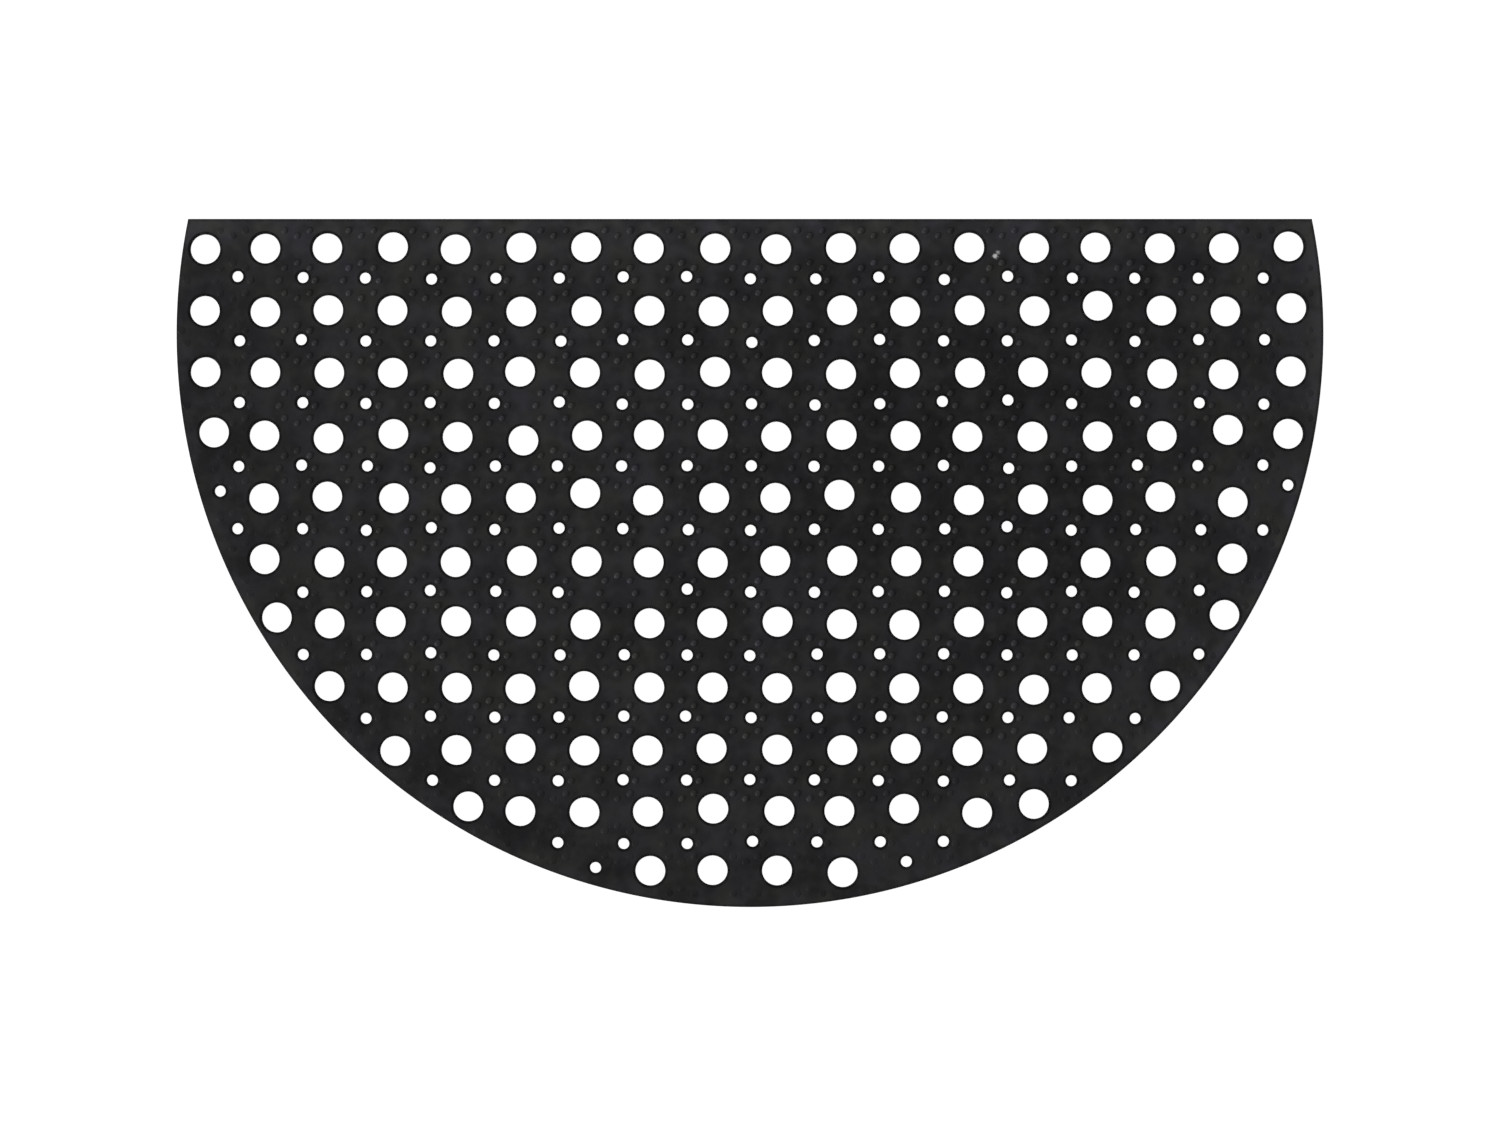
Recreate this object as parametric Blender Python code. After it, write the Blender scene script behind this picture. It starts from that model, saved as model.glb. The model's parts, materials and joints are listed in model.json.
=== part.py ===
# Half round doormat: one sheet of black rubber, punched right through with rows of
# large round holes, and with a row of small round holes between each two of them.
# Metres, +Z up. The mat lies on Z = 0. Its straight edge is towards +Y, its round
# edge towards -Y, and X = 0, Y = 0 is the middle of its length and depth.

from collections import namedtuple
from math import asin, cos, pi, sin, sqrt, tau
from random import Random

import bpy
from mathutils import Vector
from mathutils.geometry import delaunay_2d_cdt

# The sheet: a round of rubber as wide as the mat, cut off straight above its middle.
LENGTH = 0.750
DEPTH = 0.450
THICKNESS = 0.006
ROUND_RADIUS = LENGTH / 2
ROUND_CENTRE = Vector((0, ROUND_RADIUS - DEPTH / 2))
STRAIGHT_STEPS = 18
SHOULDER_STEPS = 3
BELLY_STEPS = 42

# The punches. A hole is cut with few sides, at a size that keeps the round hole's area.
LARGE_HOLE = 0.0195
LARGE_SIDES = 10
SMALL_HOLE = 0.0073
SMALL_SIDES = 7

# The columns that both kinds of hole follow. A small hole stands between two large
# ones, a little to the right of the middle.
COLUMN_PITCH = 0.0419
FIRST_LARGE_COLUMN = -0.3595
FIRST_SMALL_COLUMN = -0.3345

# The holes were punched one at a time and by eye, so each is a little off its place.
PUNCH_SCATTER = 0.0006
PUNCH_SEED = 11

# A row of large holes: its height along Y, its first and last column, and how far the
# holes at its two ends are moved (right, up) to keep them off the mat's edge.
LargeRow = namedtuple("LargeRow", "level first last left_end right_end")
LARGE_ROWS = (
    LargeRow(0.2060, 0, 17, (0.004, -0.001), (0.000, 0.001)),
    LargeRow(0.1650, 0, 17, (0.001, 0.000), (0.002, 0.002)),
    LargeRow(0.1240, 0, 17, (0.003, 0.000), (0.001, 0.001)),
    LargeRow(0.0830, 0, 17, (0.008, 0.003), (-0.001, 0.001)),
    LargeRow(0.0425, 1, 16, (0.000, 0.000), (0.004, -0.002)),
    LargeRow(0.0010, 1, 16, (0.001, 0.001), (0.005, 0.001)),
    LargeRow(-0.0390, 1, 16, (0.008, 0.003), (0.000, 0.004)),
    LargeRow(-0.0815, 2, 15, (0.000, 0.001), (0.003, 0.001)),
    LargeRow(-0.1220, 3, 14, (0.001, -0.001), (0.006, 0.002)),
    LargeRow(-0.1620, 4, 13, (0.007, 0.003), (0.000, 0.004)),
    LargeRow(-0.2010, 7, 10, (0.002, 0.000), (0.001, -0.001)),
)

# A large hole inside a row that was punched well off its place (right, up).
Stray = namedtuple("Stray", "row column right up")
LARGE_STRAYS = (
    Stray(1, 14, 0.000, 0.003),
    Stray(3, 5, 0.002, -0.003),
    Stray(3, 16, 0.002, 0.004),
    Stray(4, 6, -0.001, 0.003),
    Stray(9, 12, 0.005, -0.001),
)

# A row of small holes: its height along Y, its first and last column, and the columns
# where the maker left the hole out.
SmallRow = namedtuple("SmallRow", "level first last skipped")
SMALL_ROWS = (
    SmallRow(0.1865, 0, 16, ()),
    SmallRow(0.1455, 0, 16, ()),
    SmallRow(0.1045, 0, 16, ()),
    SmallRow(0.0635, 0, 16, ()),
    SmallRow(0.0225, 0, 16, ()),
    SmallRow(-0.0185, 1, 15, (6,)),
    SmallRow(-0.0600, 1, 15, ()),
    SmallRow(-0.1010, 2, 14, ()),
    SmallRow(-0.1420, 3, 13, ()),
)

# Two small holes that fill the corners beside the fourth row, outside the columns.
CORNER_HOLES = (Vector((-0.3465, 0.0470)), Vector((0.3520, 0.0510)))

Hole = namedtuple("Hole", "centre diameter sides")


def clear_scene():
    for thing in list(bpy.data.objects):
        bpy.data.objects.remove(thing)


def arc(start, end, steps):
    """Points on the mat's round edge from one angle to another, without the last."""
    angles = (start + (end - start) * step / steps for step in range(steps))
    return [ROUND_CENTRE + ROUND_RADIUS * Vector((cos(a), sin(a))) for a in angles]


def mat_outline():
    """The half round's edge, clockwise from the right end of its straight edge."""
    rise = DEPTH / 2 - ROUND_CENTRE.y
    shoulder = asin(rise / ROUND_RADIUS)
    left_end = ROUND_CENTRE + ROUND_RADIUS * Vector((-cos(shoulder), sin(shoulder)))
    right_end = Vector((-left_end.x, left_end.y))
    points = arc(shoulder, 0, SHOULDER_STEPS)
    points += arc(0, -pi, BELLY_STEPS)
    points += arc(-pi, -pi - shoulder, SHOULDER_STEPS)
    points += [left_end.lerp(right_end, step / STRAIGHT_STEPS) for step in range(STRAIGHT_STEPS)]
    return points


def large_holes(punch):
    """The large holes, row by row, each with the scatter of a hand-held punch."""
    strays = {(stray.row, stray.column): Vector((stray.right, stray.up)) for stray in LARGE_STRAYS}
    holes = []
    for number, row in enumerate(LARGE_ROWS):
        moved = {(number, row.first): Vector(row.left_end), (number, row.last): Vector(row.right_end)}
        for column in range(row.first, row.last + 1):
            place = Vector((FIRST_LARGE_COLUMN + column * COLUMN_PITCH, row.level))
            place += moved.get((number, column), strays.get((number, column), Vector((0, 0))))
            holes.append(Hole(scattered(place, punch), LARGE_HOLE, LARGE_SIDES))
    return holes


def small_holes(punch):
    """The small holes between the large ones, and the two in the corners."""
    holes = []
    for row in SMALL_ROWS:
        for column in range(row.first, row.last + 1):
            if column not in row.skipped:
                place = Vector((FIRST_SMALL_COLUMN + column * COLUMN_PITCH, row.level))
                holes.append(Hole(scattered(place, punch), SMALL_HOLE, SMALL_SIDES))
    holes += [Hole(place, SMALL_HOLE, SMALL_SIDES) for place in CORNER_HOLES]
    return holes


def scattered(place, punch):
    return place + Vector((punch.gauss(0, PUNCH_SCATTER), punch.gauss(0, PUNCH_SCATTER)))


def hole_ring(hole):
    """The corners of a hole, set out so that the polygon has the round hole's area."""
    turn = tau / hole.sides
    corner_radius = hole.diameter / 2 * sqrt(turn / sin(turn))
    return [
        hole.centre + corner_radius * Vector((sin(turn * side), cos(turn * side)))
        for side in range(hole.sides)
    ]


def punched_sheet(name, outline, holes):
    """A flat mesh on Z = 0 inside the outline, in triangles, open at every hole."""
    points = []
    edges = []
    ring_of = []
    for number, ring in enumerate([outline] + [hole_ring(hole) for hole in holes]):
        first = len(points)
        count = len(ring)
        points += ring
        edges += [(first + step, first + (step + 1) % count) for step in range(count)]
        ring_of += [number] * count
    inside_outline = 1
    same_point = 1e-7
    flat, _, triangles, sources, *_ = delaunay_2d_cdt(points, edges, [], inside_outline, same_point)

    def is_rubber(triangle):
        """False for a triangle that fills a hole: all its corners are on that hole's ring."""
        rings = {ring_of[sources[corner][0]] for corner in triangle}
        return len(rings) > 1 or rings == {0}

    mesh = bpy.data.meshes.new(name)
    corners = [(point.x, point.y, 0) for point in flat]
    mesh.from_pydata(corners, [], [triangle for triangle in triangles if is_rubber(triangle)])
    return mesh


def black_rubber():
    material = bpy.data.materials.new("black_rubber")
    material.use_nodes = True
    surface = material.node_tree.nodes["Principled BSDF"]
    surface.inputs["Base Color"].default_value = (0.019, 0.019, 0.020, 1)
    surface.inputs["Roughness"].default_value = 0.6
    surface.inputs["Metallic"].default_value = 0
    return material


def make_mat():
    punch = Random(PUNCH_SEED)
    holes = large_holes(punch) + small_holes(punch)
    mesh = punched_sheet("mat", mat_outline(), holes)
    mesh.materials.append(black_rubber())
    mat = bpy.data.objects.new("mat", mesh)
    bpy.context.collection.objects.link(mat)
    upwards = mat.modifiers.new("thickness", "SOLIDIFY")
    upwards.thickness = THICKNESS
    upwards.offset = 1
    return mat


def main():
    clear_scene()
    make_mat()


main()
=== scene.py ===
import json
import math
import random
from collections import namedtuple

import bpy
import numpy as np
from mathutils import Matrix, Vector

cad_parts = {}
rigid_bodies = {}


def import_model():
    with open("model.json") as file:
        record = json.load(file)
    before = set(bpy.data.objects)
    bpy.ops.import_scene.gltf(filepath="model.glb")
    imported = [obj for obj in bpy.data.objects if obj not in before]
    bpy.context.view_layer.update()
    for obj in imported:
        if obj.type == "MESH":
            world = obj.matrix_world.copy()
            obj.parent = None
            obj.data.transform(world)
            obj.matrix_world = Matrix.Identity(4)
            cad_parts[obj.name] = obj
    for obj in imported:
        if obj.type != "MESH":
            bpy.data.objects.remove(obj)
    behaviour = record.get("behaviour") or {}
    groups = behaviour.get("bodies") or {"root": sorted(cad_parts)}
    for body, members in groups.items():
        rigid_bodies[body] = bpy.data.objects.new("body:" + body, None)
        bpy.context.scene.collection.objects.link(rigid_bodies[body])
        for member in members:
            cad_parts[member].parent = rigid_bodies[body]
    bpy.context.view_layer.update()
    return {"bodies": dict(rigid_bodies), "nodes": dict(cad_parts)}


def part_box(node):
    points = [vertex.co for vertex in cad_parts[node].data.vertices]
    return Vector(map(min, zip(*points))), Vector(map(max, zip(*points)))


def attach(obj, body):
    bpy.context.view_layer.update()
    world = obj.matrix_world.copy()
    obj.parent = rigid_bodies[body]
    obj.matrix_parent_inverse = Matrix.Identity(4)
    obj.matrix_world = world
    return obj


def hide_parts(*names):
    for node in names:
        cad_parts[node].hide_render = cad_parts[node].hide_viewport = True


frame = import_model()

bl_info = {
    "name": "Half round rubber doormat",
    "version": (1, 0, 0),
    "blender": (4, 5, 0),
    "location": "View3D > Sidebar > Doormat",
    "description": "Finishes a punched and studded rubber doormat round its packed solid",
    "category": "Object",
}

BODY = next(iter(frame["bodies"]))
MAT_LOW, MAT_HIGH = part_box("mat")

# The sheet is a round of rubber, as wide as the mat, cut off straight above its middle.
# The shoulder is the angle by which the round edge runs on above the middle of the round.
ROUND_RADIUS = (MAT_HIGH.x - MAT_LOW.x) / 2
ROUND_CENTRE = Vector(((MAT_LOW.x + MAT_HIGH.x) / 2, MAT_LOW.y + ROUND_RADIUS))
SHOULDER = math.asin((MAT_HIGH.y - ROUND_CENTRE.y) / ROUND_RADIUS)
TOP = MAT_HIGH.z

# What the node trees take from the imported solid, under the names of their sockets.
MAT_VALUES = {
    "Thickness": MAT_HIGH.z - MAT_LOW.z,
    "Straight Edge": MAT_HIGH.y,
    "Round Centre": ROUND_CENTRE.to_3d(),
    "Round Radius": ROUND_RADIUS,
}

# The rounding of the upper rim, the value of the rim attribute on the band beside a cut,
# which is painted dark as shade, and on the cut itself, the least bend that reads as an
# edge, and the distance within which points are merged.
LIP_ANGLES = (0, 30, 60, 90)
BAND_RIM = 0.95
CUT_RIM = 1.0
CUT_RIM_LIMIT = 0.96
SOFTEST_CREASE = math.radians(40)
SAME_POINT = 1e-6

# A stud's mesh, how much its size differs from the next one's, the share of the low
# margin, from the round edge inwards, where the studs keep their least height, and the
# heights over the face where a stud's crown starts to be toned paler, as wear and as
# painted highlight, and where it is toned paler in full.
STUD_SIDES = 12
STUD_SLOPE_STEPS = 4
LEAST_STUD, LARGEST_STUD = 0.88, 1.08
LOWEST_SHARE = 0.2
CROWN_PALE_FROM, CROWN_PALE_FULL = 0.0002, 0.0008

# Rubber tones, as shares of the mat's own colour: in the deepest and the palest patches.
Tone = namedtuple("Tone", "deep pale")
SKIN_CLEAN = Tone(0.45, 1.15)
# The bloom tones are partly grey bloom and dust, partly painted sheen.
SKIN_BLOOM_AND_SHEEN = Tone(0.95, 1.75)
STUD_CLEAN = Tone(0.50, 1.20)
STUD_BLOOM_AND_SHEEN = Tone(0.85, 1.75)
UNDERSIDE_PLAIN = Tone(0.85, 1.2)
KNIFE_CUT = Tone(0.6, 1.2)
# Painted shade: the lips and walls of punched holes are toned near black.
PUNCHED_RIM_SHADE = Tone(0.12, 0.4)
SKIN_RUBBED = 1.9
SKIN_DUST = 2.6
# Painted shade: the band beside every cut is toned near black.
SKIN_RIM_SHADE = 0.02
# Wear and painted highlight: the tone of a stud's crown.
STUD_CROWN_WORN_AND_LIT = 2.5
PALE_DUST = 3.0

# What the tone is multiplied by in the paler margin along the outline and where the
# painted shade round the studs' feet is full.
MARGIN_FACTOR = 1.5
FOOT_SHADE_FACTOR = 0.77

# Colours that aren't shares of the rubber's own, and the tints that its tone varies between.
WHITE = (1.0, 1.0, 1.0, 1.0)
FLECK_COLOUR = (0.92, 0.92, 0.91, 1.0)
WARM_TINT = (1.04, 1.02, 0.94, 1.0)
COOL_TINT = (0.97, 0.97, 1.16, 1.0)

# How strong and how deep the surface relief is.
Relief = namedtuple("Relief", "strength depth")
SKIN_RELIEF = Relief(0.5, 0.00015)
STUD_RELIEF = Relief(0.35, 0.0001)
CUT_RELIEF = Relief(0.4, 0.00015)
UNDERSIDE_RELIEF = Relief(0.5, 0.0002)

# Dullness, on the scale of roughness: what a finish adds to the mat's own, what a pale
# patch, dust, the band of painted shade beside a cut and rubbing add where they are full,
# and a cut's own.
SKIN_DULLER, SKIN_PATCH_DULLER = 0.04, -0.08
UNDERSIDE_DULLER, UNDERSIDE_PATCH_DULLER = 0.15, -0.06
DUST_DULLER = 0.25
SHADE_BAND_DULLER = 0.25
RUBBED_DULLER = -0.1
CUT_DULLNESS, STREAK_DULLER = 0.75, 0.15

# The streaks on a cut are drawn out upright by this scale, and its relief has these
# shares of the streaks and of the grain.
STREAK_SCALE = (1.0, 1.0, 0.12)
STREAK_SHARE, CUT_GRAIN_SHARE = 0.8, 0.3

# How many grains a finish has to each one of the skin's.
STUD_GRAIN = 1.3
CUT_GRAIN = 0.8
UNDERSIDE_GRAIN = 0.5

# Noise sizes, in marks per metre.
RUBS_PER_METRE = 90.0
MOTES_PER_METRE = 2600.0
DUSTY_AREAS_PER_METRE = 14.0
RAGS_PER_METRE = 11.0
TINTS_PER_METRE = 55.0
RIM_SHADE_PATCHES_PER_METRE = 260.0
FLECK_RAGS_PER_METRE = 750.0
STREAKS_PER_METRE = 1700.0
UNDERSIDE_PATCHES_PER_METRE = 18.0

# Where each mask starts and where it is full: on the noise, or in shares of its reach.
PEBBLE_RANGE = (0.35, 0.65)
PATCH_RANGE = (0.36, 0.64)
TINT_RANGE = (0.35, 0.65)
RUB_RANGE = (0.52, 0.72)
VEIL_RANGE = (0.3, 0.7)
MOTE_RANGE = (0.68, 0.78)
DUSTY_RANGE = (0.45, 0.75)
UNTRODDEN_RANGE = (0.1, 1.2)
CLEAR_RANGE = (1.04, 0.9)
EDGE_SHEEN_RANGE = (1.1, 0.1)
MARGIN_RANGE = (1.05, 0.2)
RIM_SHADE_RANGE = (0.35, 0.6)
FLECK_RANGE = (1.2, 0.3)

# How ragged the masks' limits are, with the shares of it at the two margins, and how
# strong the veil of dust is, and the painted sheen along the straight edge, and the bloom,
# partly painted sheen, in the dim margin.
RAGGEDNESS = 1.3
DIM_RAGGED_SHARE, PALE_MARGIN_RAGGED_SHARE = 0.15, 0.25
FLECK_RAGGEDNESS, FLECK_LEAST = 1.6, 0.2
VEIL_STRENGTH = 0.25
STRAIGHT_EDGE_SHEEN = 1.3
DIM_BLOOM_AND_SHEEN = 0.1

# How much of a stud's rubbing is its own. The rest goes by the patches.
OWN_RUB_SHARE = 0.6

# The stage: the floor's half width and its gap to the mat, the lamps and the camera.
FLOOR_REACH = 30.0
FLOOR_GAP = 0.0002
FLOOR_COLOUR = (0.3, 0.3, 0.3, 1.0)
FLOOR_ROUGHNESS = 0.9
FLOOR_SHEEN = 0.1
Lamp = namedtuple("Lamp", "name place size")
KEY_LAMP = Lamp("key_light", (-5.2, -3.1, 1.75), 1.5)
TOP_LAMP = Lamp("top_light", (-0.5, 1.9, 2.3), 1.6)
SENSOR_WIDTH_MM = 36.0
CAMERA_SIGHT = 100.0

Hole = namedtuple("Hole", "place radius")


# Holes and outline

def frame_holes():
    """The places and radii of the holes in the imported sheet, read from its upright walls.

    A wall's top and bottom corners share their X and Y, so the corners that the wall
    triangles join up in plan are one hole's ring each, and the longest ring is the
    mat's own outline. A ring of few corners has the area of its round hole.
    """
    mesh = frame["nodes"]["mat"].data
    mesh.calc_loop_triangles()
    parent = {}

    def root(place):
        while parent[place] != place:
            place = parent[place]
        return place

    for triangle in mesh.loop_triangles:
        is_flat = abs(triangle.normal.z) > 0.5
        if is_flat:
            continue
        corners = {tuple(round(c, 5) for c in mesh.vertices[v].co.xy) for v in triangle.vertices}
        for place in corners:
            parent.setdefault(place, place)
        first, *others = sorted(corners)
        for place in others:
            parent[root(place)] = root(first)

    rings = {}
    for place in parent:
        rings.setdefault(root(place), []).append(place)
    holes = []
    for ring in rings.values():
        corners = np.array(sorted(ring))
        middle = corners.mean(axis=0)
        reach = float(np.linalg.norm(corners - middle, axis=1).mean())
        if reach < ROUND_RADIUS / 4:
            turn = math.tau / len(ring)
            holes.append(Hole(Vector(middle.tolist()), reach * math.sqrt(math.sin(turn) / turn)))
    return sorted(holes, key=lambda hole: (-hole.radius, -hole.place.y, hole.place.x))


def all_holes(sizes):
    """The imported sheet's holes, and the lowest small ones, which it has no room for."""
    holes = frame_holes()
    small_radius = holes[-1].radius
    punch = random.Random(sizes.seed)
    for step in range(sizes.low_row_count):
        across = sizes.low_row_left + sizes.low_row_pitch * step + punch.gauss(0, sizes.scatter)
        up = sizes.low_row_level + punch.gauss(0, sizes.scatter)
        holes.append(Hole(Vector((across, up)), small_radius))
    for place in (sizes.low_left_hole, sizes.low_right_hole):
        holes.append(Hole(Vector(place), small_radius))
    return holes


def large_from(holes):
    """A radius between those of the small and the large holes."""
    return (holes[0].radius + holes[-1].radius) / 2


def mat_outline(steps):
    """The half round's corners in plan, counterclockwise, each with its outward direction.

    A direction is as long as moves both edges that meet at the corner by one unit.
    """
    sweep = math.pi + 2 * SHOULDER
    angles = [math.pi - SHOULDER + sweep * step / steps for step in range(steps + 1)]
    outward = [Vector((math.cos(a), math.sin(a))) for a in angles]
    places = [ROUND_CENTRE + ROUND_RADIUS * way for way in outward]
    straight = Vector((0, 1))
    for end in (0, -1):
        outward[end] = (outward[end] + straight) / (1 + outward[end].dot(straight))
    straight_steps = steps // 4
    for step in range(1, straight_steps):
        places.append(places[steps].lerp(places[0], step / straight_steps))
        outward.append(straight)
    return places, outward


def punch_plan(name, holes, outline=((), ())):
    """A mesh of loose points on the hole centres, and of the outline's edges, for the node trees."""
    places, outward = outline
    count = len(places)
    points = [place.to_3d() for place in places] + [hole.place.to_3d() for hole in holes]
    mesh = bpy.data.meshes.new(name)
    mesh.from_pydata(points, [(step, (step + 1) % count) for step in range(count)], [])
    radius = mesh.attributes.new("hole_radius", "FLOAT", "POINT")
    radius.data.foreach_set("value", [0.0] * count + [hole.radius for hole in holes])
    way = mesh.attributes.new("outward", "FLOAT_VECTOR", "POINT")
    flat = [c for v in outward for c in (v.x, v.y, 0.0)]
    way.data.foreach_set("vector", flat + [0.0] * (3 * len(holes)))
    return mesh


# Node helpers for every kind of tree

def new_tree(name, kind, inputs, outputs):
    """An empty node group with named sockets, given as {socket kind: names}."""
    tree = bpy.data.node_groups.new(name, kind)
    for direction, sockets in (("INPUT", inputs), ("OUTPUT", outputs)):
        for socket_kind, titles in sockets.items():
            for title in titles:
                socket_type = "NodeSocket" + socket_kind
                tree.interface.new_socket(title, in_out=direction, socket_type=socket_type)
    given = tree.nodes.new("NodeGroupInput")
    result = tree.nodes.new("NodeGroupOutput")
    return tree, given.outputs, result.inputs


def put(tree, kind, settings=None, inputs=None):
    """Adds a node and returns its outputs. Its inputs are set or linked, and None leaves one alone."""
    node = tree.nodes.new(kind)
    for name, value in (settings or {}).items():
        setattr(node, name, value)
    for name, value in (inputs or {}).items():
        if isinstance(value, bpy.types.NodeSocket):
            tree.links.new(value, node.inputs[name])
        elif value is not None:
            node.inputs[name].default_value = value
    return node.outputs


def maths(tree, operation, first, second=0.0, third=0.0):
    """One sum on numbers. The answer's socket comes back, as it does from every helper below."""
    return put(tree, "ShaderNodeMath", {"operation": operation}, {0: first, 1: second, 2: third})[0]


def plus(tree, first, second):
    return maths(tree, "ADD", first, second)


def minus(tree, first, second):
    return maths(tree, "SUBTRACT", first, second)


def times(tree, first, second):
    return maths(tree, "MULTIPLY", first, second)


def times_plus(tree, first, second, third):
    return maths(tree, "MULTIPLY_ADD", first, second, third)


def ratio(tree, first, second):
    return maths(tree, "DIVIDE", first, second)


def vectors(tree, operation, first, second):
    """One sum on vectors."""
    return put(tree, "ShaderNodeVectorMath", {"operation": operation}, {0: first, 1: second})[0]


def scaled(tree, vector, factor):
    return put(tree, "ShaderNodeVectorMath", {"operation": "SCALE"}, {0: vector, "Scale": factor})[0]


def distance(tree, first, second):
    return put(tree, "ShaderNodeVectorMath", {"operation": "DISTANCE"}, {0: first, 1: second})["Value"]


def vector_of(tree, x=0.0, y=0.0, z=0.0):
    return put(tree, "ShaderNodeCombineXYZ", None, {"X": x, "Y": y, "Z": z})[0]


def part(tree, vector, axis):
    return put(tree, "ShaderNodeSeparateXYZ", None, {0: vector})[axis]


def weighed(tree, first, second, first_share):
    """The sum of two values, each by its share of one."""
    return times_plus(tree, first, first_share, times(tree, second, 1 - first_share))


def spread(tree, value, low, high, least=0.0):
    """Stretches a value between two limits to the range from the least to 1, softly at both ends."""
    return put(tree, "ShaderNodeMapRange", {"interpolation_type": "SMOOTHSTEP"}, {
        "Value": value, "From Min": low, "From Max": high, "To Min": least,
    })[0]


# Node helpers for geometry

def known(tree, name, kind="FLOAT"):
    """An attribute that the geometry carries."""
    return put(tree, "GeometryNodeInputNamedAttribute", {"data_type": kind}, {"Name": name})["Attribute"]


def stored(tree, geometry, name, value, kind="FLOAT", domain="POINT", chosen=None):
    return put(tree, "GeometryNodeStoreNamedAttribute", {"data_type": kind, "domain": domain}, {
        "Geometry": geometry, "Name": name, "Value": value, "Selection": chosen,
    })[0]


def nearest_point(tree, source):
    return put(tree, "GeometryNodeSampleNearest", {"domain": "POINT"}, {"Geometry": source})[0]


def at_index(tree, source, value, index, kind="FLOAT"):
    """What a value is at one point of another geometry."""
    return put(tree, "GeometryNodeSampleIndex", {"data_type": kind, "domain": "POINT"}, {
        "Geometry": source, "Value": value, "Index": index,
    })[0]


def points_where(tree, geometry, chosen):
    """The chosen points and the rest, as the outputs Selection and Inverted."""
    return put(tree, "GeometryNodeSeparateGeometry", {"domain": "POINT"}, {
        "Geometry": geometry, "Selection": chosen,
    })


def moved(tree, geometry, offset, chosen=None):
    return put(tree, "GeometryNodeSetPosition", None, {
        "Geometry": geometry, "Offset": offset, "Selection": chosen,
    })[0]


def open_ring(tree, steps, radius):
    return put(tree, "GeometryNodeMeshCircle", {"fill_type": "NONE"}, {
        "Vertices": steps, "Radius": radius,
    })[0]


def copied(tree, points, instance, scale=None, chosen=None):
    return put(tree, "GeometryNodeInstanceOnPoints", None, {
        "Points": points, "Instance": instance, "Scale": scale, "Selection": chosen,
    })[0]


def realized(tree, geometry):
    return put(tree, "GeometryNodeRealizeInstances", None, {"Geometry": geometry})[0]


def together(tree, *meshes):
    node = tree.nodes.new("GeometryNodeJoinGeometry")
    for mesh in meshes:
        tree.links.new(mesh, node.inputs[0])
    return node.outputs[0]


def filled(tree, edges_mesh, chosen=None):
    """The flat area inside closed edges, open at every ring inside it."""
    curve = put(tree, "GeometryNodeMeshToCurve", None, {"Mesh": edges_mesh, "Selection": chosen})
    return put(tree, "GeometryNodeFillCurve", None, {"Curve": curve[0]})[0]


def smoothed(tree, geometry, domain="FACE", chosen=None):
    return put(tree, "GeometryNodeSetShadeSmooth", {"domain": domain}, {
        "Geometry": geometry, "Shade Smooth": chosen,
    })[0]


def painted(tree, geometry, material, chosen=None):
    return put(tree, "GeometryNodeSetMaterial", None, {
        "Geometry": geometry, "Material": material, "Selection": chosen,
    })[0]


def chance(tree, low, high, seed):
    """A random number for each element, between two limits."""
    return put(tree, "FunctionNodeRandomValue", {"data_type": "FLOAT"}, {2: low, 3: high, "Seed": seed})[1]


def apply_tree(obj, tree, values):
    """Runs a geometry tree on an object and keeps the outcome as a plain mesh.

    Every input but the geometry takes the value of its own name.
    """
    modifier = obj.modifiers.new(tree.name, "NODES")
    modifier.node_group = tree
    for item in tree.interface.items_tree:
        if item.in_out == "INPUT" and item.name != "Geometry":
            modifier[item.identifier] = values[item.name]
    depsgraph = bpy.context.evaluated_depsgraph_get()
    depsgraph.update()
    mesh = bpy.data.meshes.new_from_object(
        obj.evaluated_get(depsgraph), preserve_all_data_layers=True, depsgraph=depsgraph
    )
    obj.modifiers.clear()
    if not mesh.polygons:
        raise RuntimeError(f"{obj.name} came out empty")
    for index in reversed(range(len(mesh.materials))):
        if mesh.materials[index] is None:
            mesh.materials.pop(index=index)
    plan = obj.data
    obj.data = mesh
    bpy.data.meshes.remove(plan)
    mesh.name = obj.name


def new_object(name, data):
    obj = bpy.data.objects.new(name, data)
    bpy.context.scene.collection.objects.link(obj)
    return obj


# Geometry tree of the punched sheet

def rim_step_tree():
    """One step of the rim's profile: the open edges are drawn out, towards the hole, and down."""
    tree, given, result = new_tree("rim step", "GeometryNodeTree", {
        "Geometry": ["Mesh"], "Bool": ["Edges"], "Float": ["Outward", "Down", "Rim"],
    }, {"Geometry": ["Mesh"], "Bool": ["Edges"]})
    drawn = put(tree, "GeometryNodeExtrudeMesh", {"mode": "EDGES"}, {
        "Mesh": given["Mesh"], "Selection": given["Edges"], "Offset Scale": 0.0,
    })
    along = scaled(tree, known(tree, "outward", "FLOAT_VECTOR"), given["Outward"])
    down = vector_of(tree, z=times(tree, given["Down"], -1.0))
    mesh = moved(tree, drawn["Mesh"], vectors(tree, "ADD", along, down), drawn["Top"])
    mesh = stored(tree, mesh, "rim", given["Rim"], chosen=drawn["Top"])
    tree.links.new(mesh, result["Mesh"])
    tree.links.new(drawn["Top"], result["Edges"])
    return tree


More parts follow.
